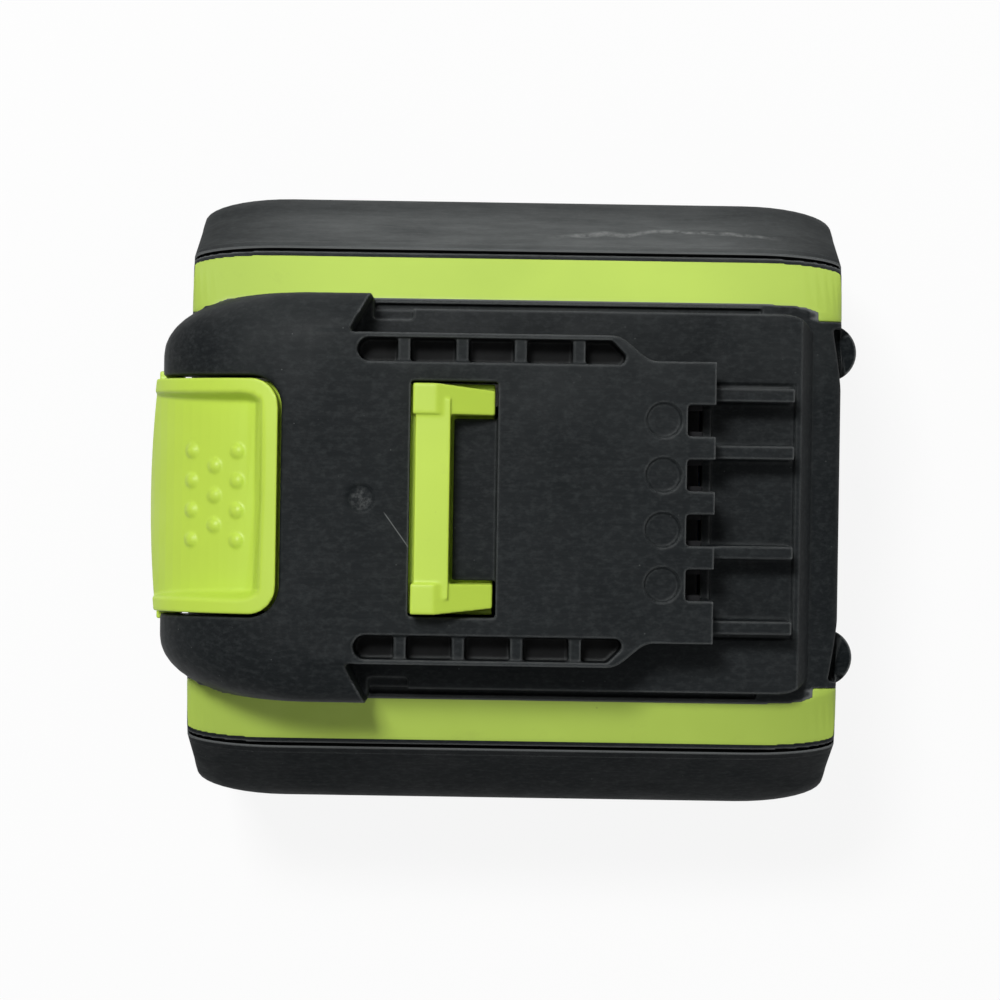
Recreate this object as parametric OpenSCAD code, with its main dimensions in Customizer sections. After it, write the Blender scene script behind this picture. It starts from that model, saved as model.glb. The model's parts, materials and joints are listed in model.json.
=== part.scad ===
// Slide-on battery pack for a cordless power tool, in millimetres.
// The pack stands on its base at z = 0, +X points out of the terminal end,
// and +Y points to the left side. Ten cylindrical cells lie along X in three rows.

/* [Cells] */
// Diameter of one cell
cell_d = 18.3; // [18:0.1:18.8]
// Length of one cell
cell_l = 65; // [63:0.5:68]
// Gap between neighbouring cells
cell_gap = 0.5; // [0.4:0.1:1]
// Wall of the holder around each cell
holder_wall = 0.6; // [0.5:0.1:0.8]
// Radial clearance of a cell in its holder
cell_fit = 0.15; // [0.1:0.05:0.2]
// Length of cell that each holder grips
holder_depth = 6; // [4:0.5:10]
// Depth of the flat that each holder stands on
holder_foot = 0.4; // [0.2:0.1:0.6]
// Thickness of the welded strips
strip_t = 0.3; // [0.2:0.05:0.4]
// Width of the welded strips
strip_w = 9; // [7:0.5:11]
// Thickness of the insulating end sheets
sheet_t = 0.4; // [0.2:0.1:0.5]

/* [Case] */
// Wall thickness of the case
wall = 2; // [1.6:0.1:2.2]
// Free room between the outer holders and the side walls
side_room = 1.1; // [0.8:0.05:2]
// Free room between the cells and the terminal end wall
front_room = 9.8; // [9.4:0.1:12]
// Free room between the cells and the latch end wall
rear_room = 7.2; // [7:0.1:9]
// Free room above the top row of holders
headroom = 3.5; // [3.4:0.05:4.5]
// Width of the rounded edge under each side
base_edge_w = 6; // [3:0.5:9]
// Height of the rounded edge under each side
base_edge_h = 12; // [6:0.5:16]
// Free room between the top row of holders and the shoulders
shoulder_room = 2.65; // [2.4:0.05:4]
// Height of the sloped strip on each side
strip_rise = 14; // [12:0.5:15]
// Length of the rounded ends of the case, seen from above
end_len = 12; // [8:0.5:13]
// How far the sides draw in at the ends
end_draw = 3.2; // [2:0.1:5]
// Length over which the shoulders fall and the base rises at the ends
fall_len = 6; // [4:0.5:7]
// How far the shoulders draw in at the ends
shoulder_draw = 1.6; // [0.8:0.1:2.4]
// How far the shoulder top falls at the ends
shoulder_fall = 2.2; // [1.5:0.1:2.4]
// How far the end walls bow out in the middle
end_bow = 1; // [0.6:0.1:1.4]
// Radius of the bowed middle of the terminal end, seen from above
nose_r = 120; // [100:5:200]
// Gap between the bands and the bowed middle of the terminal end
nose_gap = 0.9; // [0.6:0.1:2]

/* [Coloured bands] */
// Height of the lip under each band
lip_h = 1; // [0.8:0.1:1.4]
// How far the lip steps in
lip_in = 1.2; // [1:0.1:1.6]
// Height of each band
band_h = 3; // [2.6:0.1:4]
// How far each band leans in over its height
band_lean = 6.25; // [5.75:0.25:6.75]
// Height of the black lip over each band
band_lip = 0.3; // [0.2:0.05:0.5]
// Thickness of each band
band_t = 1; // [0.8:0.1:1.2]
// How far the bands turn in round the ends
band_turn = 1.7; // [1.4:0.05:2.4]
// Height of the shadow groove over the parting line
groove_h = 0.5; // [0.3:0.1:0.7]
// Depth of the shadow groove under the parting line
groove_depth = 1.5; // [0.8:0.1:2]

/* [Rail] */
// Height of the deck over the top of the bands
deck_step = 4; // [3:0.5:5]
// How far the deck edge stands in from the bands
deck_in = 1.1; // [0.9:0.05:1.6]
// Depth of the channel between the deck and the bands
ledge_depth = 0.9; // [0.4:0.1:1]
// Distance of the deck edge from the terminal end
deck_back = 5.7; // [5:0.1:7]
// How far the nose runs out below the deck edge
nose_run = 2.6; // [1.5:0.1:3]
// Depth of the shallow pocket between the keying ribs
pocket_depth = 0.4; // [0.2:0.1:0.6]
// Length of the notch in the deck edge beside the hump
notch_l = 8; // [5:0.5:10]
// Width of the notch in the deck edge
notch_w = 1.4; // [0.8:0.1:1.6]
// Depth of the notch in the deck edge
notch_depth = 3; // [2:0.1:3.4]
// Half width of the neck under the rail
neck_half = 17.4; // [16.6:0.1:18]
// Wall of the neck
neck_wall = 2.2; // [1.8:0.1:2.4]
// Height of the rail groove
rail_gap = 4.6; // [4.4:0.1:6]
// Thickness of the rail flange
flange_t = 5; // [4.7:0.1:5.6]
// Half width of the rail flange
flange_half = 21.2; // [20.8:0.1:22]
// How far the flange narrows on each side
flange_step = 3.2; // [2.6:0.1:3.5]
// Distance from the front of the flange to where it begins to narrow
flange_taper_back = 13.3; // [13:0.1:16]
// Length over which the flange narrows
flange_taper_l = 5.7; // [4:0.1:7]
// Distance from the deck edge to the front of the flange
plate_back = 11.8; // [11:0.1:12.5]
// Thickness of the skin over the rail
skin_t = 2.5; // [2:0.1:2.8]
// Length of the cored slots in the flange
core_slot_l = 34.3; // [28:0.1:36]
// Gap between the hump and the cored slots
core_slot_gap = 1.2; // [0.9:0.1:3]
// Width of the cored slots
core_slot_w = 3.1; // [2.4:0.1:3.2]
// Depth of the cored slots
core_slot_depth = 4.3; // [3:0.1:4.4]
// Rim left outside the cored slots
core_rim = 0.6; // [0.5:0.1:0.9]
// Thickness of the cross ribs in the cored slots
core_rib_t = 1.6; // [1:0.1:2]
// Number of cross ribs in each cored slot
core_ribs = 4; // [2:1:6]

/* [Terminals] */
// Spacing of the terminal slots
terminal_pitch = 7; // [6.8:0.05:7.2]
// Width of each terminal slot
terminal_slot_w = 4; // [3:0.1:4.4]
// Length of each terminal slot on top of the rail
terminal_slot_l = 3.6; // [3:0.1:5]
// Diameter of the round recesses behind the slots
recess_d = 4.5; // [3:0.1:5]
// Depth of the round recesses
recess_depth = 0.5; // [0.2:0.1:0.8]
// Distance of the round recesses from the front edge
recess_back = 6.6; // [6.2:0.1:8]
// Thickness of the contact sheet
contact_t = 0.5; // [0.4:0.1:0.8]
// Gap between the two prongs of a contact
contact_gap = 0.9; // [0.6:0.1:1.2]
// Length of a contact
contact_l = 9; // [6:0.5:10]
// Thickness of the keying ribs
key_rib_t = 1.75; // [1.2:0.05:2.2]
// Length of the keying ribs
key_rib_l = 10.4; // [8:0.1:11]
// Height of the keying ribs over the deck
key_rib_h = 5.4; // [4:0.1:6]
// Side position of the first keying rib
key_rib_1 = 14; // [13:0.1:15]
// Side position of the second keying rib
key_rib_2 = 6.6; // [6:0.1:7.5]
// Side position of the third keying rib
key_rib_3 = -6.3; // [-7.5:0.1:-5.5]
// Side position of the fourth keying rib
key_rib_4 = -16; // [-16.4:0.1:-14]

/* [Hump] */
// How far the hump stands out behind the case
hump_out = 3.4; // [2.8:0.1:4.2]
// Length of the curved back of the hump
hump_reach = 20.6; // [19:0.1:22]
// Length of the flat top of the hump at its sides
hump_flat = 7; // [6:0.1:8]
// How far the front of the hump slants back beside the rail
hump_slant = 2.8; // [2:0.1:3.4]
// How far the sides of the hump stand out over the bands
hump_over = 0.5; // [0:0.05:0.6]
// Width of the rounded sides of the hump
hump_round = 8; // [5:0.5:8.5]
// Length of the rounded rear corners of the hump
hump_corner = 14; // [8:0.5:16]
// Thickness of the webs beside the latch
web_t = 2; // [1.6:0.1:3]

/* [Latch] */
// Travel of the latch when its button is pressed
latch_travel = 4.2; // [3:0.1:4.6]
// Half width of the button
button_half = 15.1; // [14:0.1:15.6]
// Distance from the crest of the hump to the button
button_back = 4.6; // [3.6:0.1:5.4]
// How far the button stands out behind the hump
button_proud = 1.5; // [1.2:0.1:2]
// How far the button stands over the top of the hump
button_over = 0.6; // [0.4:0.1:1]
// Radius of the bowed back of the button, seen from above
button_bow_r = 112; // [90:1:200]
// Radius of the front corners of the button
button_corner = 3.6; // [2:0.1:5]
// Width of the rim around the dish
button_rim = 1.6; // [1.2:0.1:2.2]
// Width of the sloped walls of the dish
dish_wall_w = 1.5; // [1.2:0.1:3]
// Width of the sloped front wall of the dish
dish_front_w = 2; // [0.8:0.1:2.4]
// Depth of the dish
dish_depth = 2.2; // [1:0.1:2.6]
// Thickness of the button under the dish
button_t = 1.8; // [1.4:0.1:2]
// Length of the skirt below the back of the button
skirt_l = 6; // [4:0.5:8]
// Radius of the grip dots
dot_r = 1.05; // [0.6:0.05:1.2]
// Height of the grip dots
dot_h = 0.5; // [0.2:0.05:0.6]
// Spacing of the grip dots across the button
dot_pitch = 3.83; // [3:0.01:4.2]
// Spacing of the grip dots along the button
dot_row = 2.95; // [2.4:0.05:3.2]
// Distance from the front of the button to the middle of the grip dots
dot_back = 8.3; // [7:0.1:9.6]
// Running clearance around the latch
latch_fit = 0.4; // [0.3:0.05:0.6]
// Thickness of the plate between button and hook
latch_plate_t = 2.7; // [2:0.1:3]
// How far the hook stands in from the edge of the latch plate
hook_in = 0.15; // [0:0.05:1]
// Width of each arm of the hook
hook_arm_w = 3.9; // [3:0.1:4.5]
// How far the arms of the hook narrow towards their ends
hook_taper = 0.8; // [0:0.1:1.2]
// Length of the arms of the hook
hook_l = 10.4; // [8:0.1:10.6]
// Width of the cross bar of the hook
hook_bar_w = 4.4; // [3.4:0.1:5]
// Distance from the front of the flange to the rear face of the hook
hook_back = 38.6; // [37.8:0.1:39.8]
// How far the hook sinks below the rail when it is pressed
hook_sink = 0.4; // [0.2:0.1:1]
// Length of the level back of the arms
hook_level = 3; // [2:0.1:4]
// How far the cross bar stands in from the back of the arms
hook_bar_in = 0.4; // [0.2:0.1:1]
// How far the cross bar lies below the arms
hook_bar_drop = 0.4; // [0.2:0.1:1]
// Height of the arm ends over the rail
hook_end_h = 0.6; // [0.4:0.1:1.5]
// Depth of the step in the rail between the hook arms
island_step = 1.5; // [0.8:0.1:1.8]
// Outer diameter of the latch springs
spring_d = 5; // [4.4:0.1:5.2]
// Wire diameter of the latch springs
spring_wire = 0.6; // [0.5:0.05:0.7]
// Number of turns of each latch spring
spring_turns = 6; // [5:1:7]
// Height of the latch springs at rest
spring_h = 12; // [11:0.1:12.5]
// Distance from the side of the button to each spring
spring_in = 5.1; // [4.4:0.1:7]

/* [Screws] */
// Shank diameter of the case screws
screw_d = 2.9; // [2.5:0.1:3]
// Head diameter of the case screws
screw_head_d = 5; // [4.6:0.1:5.2]
// Head height of the case screws
screw_head_h = 2; // [1.6:0.1:2.4]
// Length of the screw shank
screw_l = 10; // [9:0.5:10.5]
// How far the screw heads sit below the parting line
screw_sink = 9; // [8:0.5:10]
// How far the screw bosses reach below the parting line
boss_drop = 5; // [4:0.5:6]
// Distance from the shoulder to the front screws
front_screw_in = 13.05; // [12.8:0.05:13.8]
// Distance from the shoulder to the rear screws
rear_screw_in = 9.95; // [9.8:0.05:11.8]
// Clearance between a screw and its hole
screw_fit = 0.05; // [0.05:0.01:0.1]
// Radius of the half-round nubs on the terminal end
nub_r = 3.8; // [3.4:0.1:4.4]
// How far the nubs stand out of the terminal end
nub_out = 2.3; // [1.8:0.1:2.6]
// Height of the nubs under the parting line
nub_drop = 1; // [0.5:0.1:3]

/* [Board] */
// Thickness of the protection board
board_t = 1.6; // [1:0.1:2]
// Gap between the board and the neck
board_fit = 0.4; // [0.3:0.1:0.6]
// Gap between the hook and the board
board_gap = 3.4; // [3:0.1:5]
// Gap between the foam and the cells under it
foam_fit = 0.25; // [0.1:0.05:0.3]
// Half width of the foam
foam_half = 8; // [6:0.5:8]

/* [Hidden] */
$fn = 48;
eps = 0.02;
big = 200;

// Places of the cells: rows of three, four and three on a close-packed pitch
pitch = cell_d + cell_gap;
row_step = pitch * sin(60);
bore_r = cell_d / 2 + cell_fit;
holder_r = bore_r + holder_wall;
row_1 = wall + holder_r - holder_foot;
row_counts = [3, 4, 3];
cells = [for (row = [0:2]) for (i = [0:row_counts[row] - 1])
    [(i - (row_counts[row] - 1) / 2) * pitch, row_1 + row * row_step]];
// Cells that point their positive end to the front, and cells joined by each strip, by index
forward_cells = [7, 8, 3, 4, 2, 6];
front_strips = [[7, 8], [3, 4, 1, 0], [2, 6, 5, 9]];
rear_strips = [[7, 8, 4, 3], [0, 1, 2, 6], [5, 9]];
row_3 = row_1 + 2 * row_step;
cell_top = row_3 + cell_d / 2;
end_gap = 0.2;
stack_end = cell_l / 2 + 2 * strip_t + sheet_t;

// Levels of the case
deck_under = row_3 + holder_r + headroom;
deck_z = deck_under + wall;
band_top = deck_z - deck_step;
band_bottom = band_top - band_h;
parting = band_bottom - lip_h;
strip_low = parting - strip_rise;
rail_under = deck_z + rail_gap;
rail_top = rail_under + flange_t;
skin_under = rail_top - skin_t;

// Half widths and ends of the case
side_half = 1.5 * pitch + holder_r + side_room + wall;
shoulder_half = pitch + holder_r + shoulder_room + wall;
strip_lean = side_half - shoulder_half;
band_low_half = shoulder_half - lip_in;
band_high_half = band_low_half - band_lean;
band_end_y = band_high_half - band_turn;
nose_half = band_end_y - nose_gap;
deck_half = band_high_half - deck_in;
case_front = cell_l / 2 + front_room + wall;
case_rear = -(cell_l / 2 + rear_room + wall);
base_rise = 3;
strip_fillet = 3;
strip_bend = 0.3;
end_steps = [for (a = [0:9:90]) sin(a)];
bow_steps = [[0.65, 0.75], [1, 0.4]];
groove_rim = 0.15;
ledge_rim = 0.2;
deck_corner = 5;
deck_rear = case_rear + wall + eps;
deck_front = case_front - deck_back;
plate_front = deck_front - plate_back;
flange_taper_x = plate_front - flange_taper_back;
flange_nose_half = flange_half - flange_step;
nose_drop = 6;
pocket_rim = 0.8;

// Hump and button are parts of ellipses about the same centre
hump_gap = 0.3;
hump_foot = band_top + hump_gap;
hump_half = band_high_half + hump_over;
hump_rear = case_rear - hump_out;
hump_crest = hump_rear + hump_reach;
hump_front = hump_crest + hump_flat;
hump_front_in = hump_front - hump_slant;
core_slot_x = hump_front_in + core_slot_gap;
hump_rise = rail_top - hump_foot;
hump_side_fall = 4;
button_reach = hump_reach + button_proud;
button_rise = hump_rise + button_over;
button_rear = hump_crest - button_reach;
button_front = hump_crest - button_back;
dot_mid = button_front - dot_back;
button_start = asin((hump_crest - button_front) / button_reach);
button_steps = 30;
skirt_t = 1.8;
tab_t = 1.4;
tab_in = 2.2;
tab_lap = 0.8;
tab_gap = 0.7;
skirt_low = hump_foot - skirt_l;
opening_low = hump_foot - latch_travel - latch_fit;
opening_half = button_half + latch_fit;
dish_soften = 0.4;
dish_corner = button_corner - button_rim + dish_soften;
dish_half = button_half - button_rim;
dish_front = button_front - button_rim;
dish_over = 3;
dish_rows = 16;
dish_wall_least = 0.5;

// Latch plate and hook
rail_clear = 0.3;
plate_top = skin_under - rail_clear;
plate_low = plate_top - latch_plate_t;
cavity_half = neck_half - neck_wall;
plate_half = cavity_half - latch_fit;
plate_overlap = 3;
plate_rear = button_front - plate_overlap;
hook_half = plate_half - hook_in;
hook_rear = plate_front - hook_back;
hook_front = hook_rear + hook_l;
hook_top = rail_top + latch_travel - hook_sink;
window_fit = latch_fit;

// Screws and spring seats
head_fit = 0.4;
column_wall = 1.1;
column_r = screw_head_d / 2 + head_fit + column_wall;
front_screw_x = stack_end + end_gap + column_r;
rear_screw_x = -front_screw_x;
front_screw_y = shoulder_half - front_screw_in;
rear_screw_y = shoulder_half - rear_screw_in;
screw_places = [for (s = [-1, 1]) each [[front_screw_x, s * front_screw_y], [rear_screw_x, s * rear_screw_y]]];
screw_seat = parting - screw_sink;
screw_tip = screw_seat + screw_l;
boss_wall = 1.3;
boss_low = parting - boss_drop;
boss_r = screw_d / 2 + boss_wall;
pilot_over = 1.3;
hollow_rear = rear_screw_x + column_r;
pilot_top = screw_tip + pilot_over;
boss_top = pilot_top + boss_wall;
shank_fit = 0.15;
seat_rim = 0.8;
seat_r = spring_d / 2 + seat_rim;
spring_y = button_half - spring_in;
spring_x = -(stack_end + end_gap + seat_r);
seat_drop = 5;
spring_base = parting - seat_drop;
spring_seat_gap = 0.05;
peg_fit = 0.3;
peg_r = spring_d / 2 - spring_wire - peg_fit;
peg_h = 4;
button_peg_h = 2;

// Board and terminals
board_low = deck_under;
board_top = board_low + board_t;
plate_wall = 1.2;
cavity_front = plate_front - plate_wall;
board_front = cavity_front - board_fit;
board_rear = hook_front + board_gap;
board_half = cavity_half - board_fit;
block_wall = 1;
contact_back = 4.2;
contact_front = cavity_front - contact_back;
contact_rear = contact_front - contact_l;
block_rear = contact_rear - board_fit - block_wall;
contact_half = contact_gap / 2 + contact_t;
contact_cover = 1.2;
contact_top = skin_under - contact_cover;
terminal_sill = 0.6;
terminal_places = [for (i = [-1.5:1:1.5]) i * terminal_pitch];

function bend(a, b, c, s) = a * (1 - s) * (1 - s) + b * 2 * s * (1 - s) + c * s * s;
function rounding(u) = 1 - sqrt(1 - u * u);
function mirrored(points) = concat(points, [for (i = [len(points) - 1:-1:0]) [-points[i][0], points[i][1]]]);

// One side of the case section; k and e run from 0 along the case to 1 at its very end,
// k where it draws in seen from above and e where it rises or falls
function case_side(k, e) = concat(
    [for (a = [0:18:90])
        [side_half - base_edge_w * (1 - sin(a)) - end_draw * k,
         base_edge_h * (1 - cos(a)) + base_rise * e * cos(a)]],
    [for (s = [0:0.25:1]) bend(
        [side_half - end_draw * k, strip_low - strip_fillet],
        [side_half - end_draw * k, strip_low],
        [side_half - strip_lean * strip_bend - end_draw * k, strip_low + strip_rise * strip_bend], s)],
    [[shoulder_half - shoulder_draw * k, parting],
     [band_low_half - shoulder_draw * k, band_bottom],
     [band_high_half - shoulder_draw * k, band_top - shoulder_fall * e]]
);

module side_view(width) {
    rotate([90, 0, 0]) linear_extrude(width, center = true) children();
}

module both_sides() {
    children();
    mirror([0, 1, 0]) children();
}

// Ring drawn in by a distance, with each edge kept parallel to itself
function edge_normal(a, b) = let (d = (b - a) / norm(b - a)) [-d[1], d[0]];
function drawn_in(ring, distance) = let (n = len(ring)) [for (i = [0:n - 1])
    let (before = edge_normal(ring[(i + n - 1) % n], ring[i]), after = edge_normal(ring[i], ring[(i + 1) % n]))
    ring[i] + (before + after) * distance / (1 + before * after)];

// Solid through a row of rings that each have the same even number of points
module loft(rings) {
    n = len(rings[0]);
    last = (len(rings) - 1) * n;
    walls = [for (r = [0:len(rings) - 2]) for (j = [0:n - 1])
        let (a = r * n + j, b = r * n + (j + 1) % n)
        each [[a, a + n, b + n], [a, b + n, b]]];
    ends = [for (i = [0:n / 2 - 2]) let (j = n - 1 - i, p = last + i, q = last + j)
        each [[i, i + 1, j - 1], [i, j - 1, j], [q, q - 1, p + 1], [q, p + 1, p]]];
    polyhedron([for (ring = rings) each ring], concat(walls, ends));
}

// Section of the case at x; shrink below 1 gives the bowed middle of an end wall
function case_ring(x, k, e, inset, shrink) = let (middle = [0, (base_edge_h + strip_low) / 2])
    [for (p = drawn_in(mirrored(case_side(k, e)), inset))
        let (q = middle + (p - middle) * shrink) [x, q[0], q[1]]];
function case_end(end, inset) = let (tip = (end > 0 ? case_front : case_rear) - end * inset) concat(
    [for (u = end_steps) let (left = end_len * (1 - u))
        case_ring(tip - end * left, rounding(u), rounding(max(0, 1 - left / fall_len)), inset, 1)],
    [for (bow = bow_steps) case_ring(tip + end * end_bow * bow[0], 1, 1, inset, bow[1])]);

// Closed form of the case, drawn in by inset on every side
module case_form(inset) {
    rear = case_end(-1, inset);
    loft(concat([for (i = [len(rear) - 1:-1:0]) rear[i]], case_end(1, inset)));
}

module layer(low, high) {
    translate([-big / 2, -big / 2, low]) cube([big, big, high - low]);
}

// Space taken by a band: both bands when side is 0, else the one on that side
module band_space(side) {
    difference() {
        for (s = side == 0 ? [-1, 1] : [side])
            translate([-big / 2, s > 0 ? band_end_y : -big - band_end_y, band_bottom])
                cube([big, big, band_h - band_lip]);
        translate([case_rear + fall_len, -band_high_half, band_bottom - 1])
            cube([case_front - case_rear - 2 * fall_len, 2 * band_high_half, band_h + 2]);
    }
}

// What is trimmed off the terminal end to leave its bowed middle
module nose_trim() {
    difference() {
        translate([front_screw_x, -nose_half, -1]) cube([big, 2 * nose_half, big]);
        translate([case_front + end_bow - nose_r, 0, -2]) cylinder(h = big + 2, r = nose_r, $fn = 180);
    }
}

module lower_housing() {
    color([0.13, 0.14, 0.15]) difference() {
        union() {
            difference() {
                intersection() {
                    case_form(0);
                    layer(-eps, parting);
                    union() {
                        difference() {
                            layer(-1, parting + 1);
                            case_form(wall);
                        }
                        for (p = screw_places) translate([p[0], p[1], 0]) cylinder(h = parting, r = column_r);
                        both_sides() translate([spring_x, spring_y, 0]) cylinder(h = spring_base, r = seat_r);
                    }
                }
                nose_trim();
            }
            both_sides() translate([spring_x, spring_y, spring_base - 1]) cylinder(h = peg_h + 1, r = peg_r);
            both_sides() translate([case_front + nub_out - nub_r, front_screw_y, base_edge_h])
                cylinder(h = parting - nub_drop - base_edge_h, r = nub_r);
        }
        intersection() {
            layer(parting - groove_depth, parting + 1);
            difference() {
                case_form(groove_rim);
                case_form(band_t);
            }
        }
        for (p = screw_places) translate([p[0], p[1], 0]) {
            translate([0, 0, -1]) cylinder(h = screw_seat + 1, r = screw_head_d / 2 + head_fit);
            cylinder(h = parting + 1, r = screw_d / 2 + shank_fit);
        }
        screw_bosses(screw_fit);
    }
}

// Deck with rounded front corners, a sloping nose, a shallow pocket and notched edges
module deck_block() {
    difference() {
        deck_form();
        translate([plate_front - 1, key_rib_4 - key_rib_t, deck_z - pocket_depth])
            cube([deck_front - pocket_rim - plate_front + 1, key_rib_1 - key_rib_4 + 2 * key_rib_t, 1]);
        both_sides() translate([hump_front_in, deck_half - notch_w, deck_z - notch_depth])
            cube([notch_l, big, big]);
    }
}

// Bosses that take the case screws, grown by fit
module screw_bosses(fit) {
    for (p = screw_places)
        translate([p[0], p[1], boss_low]) cylinder(h = boss_top - boss_low, r = boss_r + fit);
}

// Channels between the deck and the bands
module ledge_channels() {
    both_sides() translate([hump_front, deck_half, band_top - ledge_depth])
        cube([deck_front - deck_corner - hump_front, band_high_half - ledge_rim - deck_half, rail_gap]);
}

module deck_form() {
    front = deck_front + nose_run;
    intersection() {
        linear_extrude(deck_z) union() {
            translate([deck_rear, -deck_half]) square([front - deck_corner - deck_rear, 2 * deck_half]);
            translate([deck_rear, deck_corner - deck_half])
                square([front - deck_rear, 2 * (deck_half - deck_corner)]);
            for (s = [-1, 1])
                translate([front - deck_corner, s * (deck_half - deck_corner)]) circle(deck_corner);
        }
        side_view(2 * side_half) polygon([
            [deck_rear - 1, parting + wall], [front + 1, parting + wall], [front + 1, deck_z - nose_drop],
            [front, deck_z - nose_drop], [deck_front, deck_z], [deck_rear - 1, deck_z]]);
    }
}

// Outline of the flange seen from above, narrowing in an S-curve towards the front
function flange_side() = concat(
    [[hump_crest, flange_half]],
    [for (s = [0:0.1:1])
        [flange_taper_x + flange_taper_l * s,
         flange_half - (flange_half - flange_nose_half) * (1 - cos(180 * s)) / 2]],
    [[plate_front, flange_nose_half]]
);

module flange() {
    side = flange_side();
    translate([0, 0, rail_under]) linear_extrude(flange_t)
        polygon(concat(side, [for (i = [len(side) - 1:-1:0]) [side[i][0], -side[i][1]]]));
}

// One cored slot in the flange, with its cross ribs left standing
module core_slot() {
    outer = flange_half - core_rim;
    inner = outer - core_slot_w;
    r = core_slot_w / 2;
    tip_r = 0.9;
    tip = [core_slot_x + core_slot_l - tip_r, inner + tip_r];
    tip_side = tip + [tip_r, tip_r] * cos(45);
    rib_sink = 0.6;
    end_share = 0.8;
    rib_step = core_slot_l / (core_ribs - 1 + 2 * end_share);
    difference() {
        translate([0, 0, rail_top - core_slot_depth]) linear_extrude(core_slot_depth + 1) union() {
            translate([core_slot_x + r, inner + r]) circle(r);
            translate(tip) circle(tip_r);
            polygon([[core_slot_x + r, inner], [tip[0], inner], tip, tip_side,
                     [tip_side[0] + tip_side[1] - outer, outer], [core_slot_x + r, outer]]);
        }
        for (i = [0:core_ribs - 1])
            translate([core_slot_x + rib_step * (i + end_share) - core_rib_t / 2, inner - 1, 0])
                cube([core_rib_t, core_slot_w + 2, rail_top - rib_sink]);
    }
}

// Side view of the hump, drawn in by k towards its rounded sides
function hump_view(k, inset) = concat(
    [[hump_front - inset, hump_foot], [hump_front - inset, rail_top - inset - hump_side_fall * k]],
    [for (t = [0:6:90])
        [hump_crest - (hump_reach - inset - hump_corner * k) * sin(t),
         hump_foot + (hump_rise - inset - hump_side_fall * k) * cos(t)]]
);

module hump_form(inset) {
    half = [for (u = end_steps) [hump_half - inset - hump_round * (1 - u), rounding(u)]];
    sides = concat([for (i = [len(half) - 1:-1:0]) half[i]], [for (h = half) [-h[0], h[1]]]);
    loft([for (s = sides) [for (p = hump_view(s[1], inset)) [p[0], s[0], p[1]]]]);
}

module hump() {
    difference() {
        hump_form(0);
        both_sides() translate([0, 0, deck_z]) linear_extrude(big) polygon([
            [hump_front_in, -1], [hump_front_in, flange_half], [hump_front, hump_half + eps],
            [hump_front + big, hump_half + eps], [hump_front + big, -1]]);
    }
}

// Hollow of the hump, with a web left on each side of the button
module hump_hollow() {
    difference() {
        hump_form(wall);
        both_sides() translate([-big / 2, opening_half, 0]) cube([big, web_t, big]);
        both_sides() translate([hump_front_in - wall, opening_half, 0]) cube([big, big, big]);
    }
}

// Outline of the button seen from above, grown by fit
module button_plan(fit, half, front, corner) {
    r = corner + fit;
    translate([-big, -half - fit]) square([big + front - corner, 2 * (half + fit)]);
    translate([-big, corner - half]) square([big + front + fit, 2 * (half - corner)]);
    for (s = [-1, 1]) translate([front - corner, s * (half - corner)]) circle(r);
}

module upper_housing() {
    color([0.14, 0.15, 0.16]) difference() {
        union() {
            difference() {
                union() {
                    difference() {
                        intersection() {
                            case_form(0);
                            layer(parting, band_top + 1);
                        }
                        nose_trim();
                    }
                    deck_block();
                    translate([hump_crest, -neck_half, deck_z - 1])
                        cube([plate_front - hump_crest, 2 * neck_half, rail_gap + 1 + flange_t / 2]);
                    flange();
                    hump();
                    key_ribs();
                }
                intersection() {
                    case_form(wall);
                    layer(0, band_top);
                }
                translate([hollow_rear, wall - deck_half, parting])
                    cube([deck_front - wall - hollow_rear, 2 * (deck_half - wall), deck_under - parting]);
                translate([hump_crest - 1, -cavity_half, parting])
                    cube([cavity_front - hump_crest + 1, 2 * cavity_half, skin_under - parting]);
                translate([spring_x - seat_r, -opening_half, parting])
                    cube([hump_crest - spring_x + seat_r, 2 * opening_half, hump_foot + 1 - parting]);
                hump_hollow();
            }
            intersection() {
                case_form(wall / 2);
                screw_bosses(0);
            }
        }
        for (p = screw_places)
            translate([p[0], p[1], boss_low - 1])
                cylinder(h = pilot_top + 1 - boss_low, r = screw_d / 2 + screw_fit);
        difference() {
            union() {
                band_space(0);
                layer(parting - 1, parting + groove_h);
            }
            case_form(band_t);
        }
        translate([0, 0, opening_low]) linear_extrude(big)
            button_plan(latch_fit, button_half, button_front, button_corner);
        both_sides() core_slot();
        ledge_channels();
        hook_window();
        terminal_openings();
        gate_mark();
    }
}

module key_ribs() {
    for (y = [key_rib_1, key_rib_2, key_rib_3, key_rib_4])
        translate([plate_front - 1, y - key_rib_t / 2, deck_z - pocket_depth - eps])
            cube([key_rib_l + 1, key_rib_t, key_rib_h + pocket_depth + eps]);
}

// U-shaped way through the rail for the hook, around a stepped-down island
module hook_window() {
    rear = hook_rear - window_fit;
    front = hook_front + window_fit;
    half = hook_half + window_fit;
    bar = hook_bar_in + hook_bar_w + 2 * window_fit;
    arm = hook_arm_w + 2 * window_fit;
    translate([rear, -half, rail_top - island_step]) cube([front - rear, 2 * half, island_step + 1]);
    translate([rear, -half, skin_under - 1]) cube([bar, 2 * half, skin_t + 2]);
    both_sides() translate([rear, half - arm, skin_under - 1]) cube([front - rear, arm, skin_t + 2]);
}

module terminal_openings() {
    for (y = terminal_places) {
        translate([plate_front - terminal_slot_l, y - terminal_slot_w / 2, deck_z + terminal_sill])
            cube([terminal_slot_l + 1, terminal_slot_w, big]);
        translate([plate_front - recess_back, y, rail_top - recess_depth])
            cylinder(h = recess_depth + 1, d = recess_d);
    }
}

// Round pit left by the mould's gate behind the hook
module gate_mark() {
    mark_r = 1.8;
    depth = 0.35;
    behind_hook = 6.6;
    translate([hook_rear - behind_hook, 0, rail_top - depth]) cylinder(h = depth + 1, r = mark_r);
}

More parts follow.
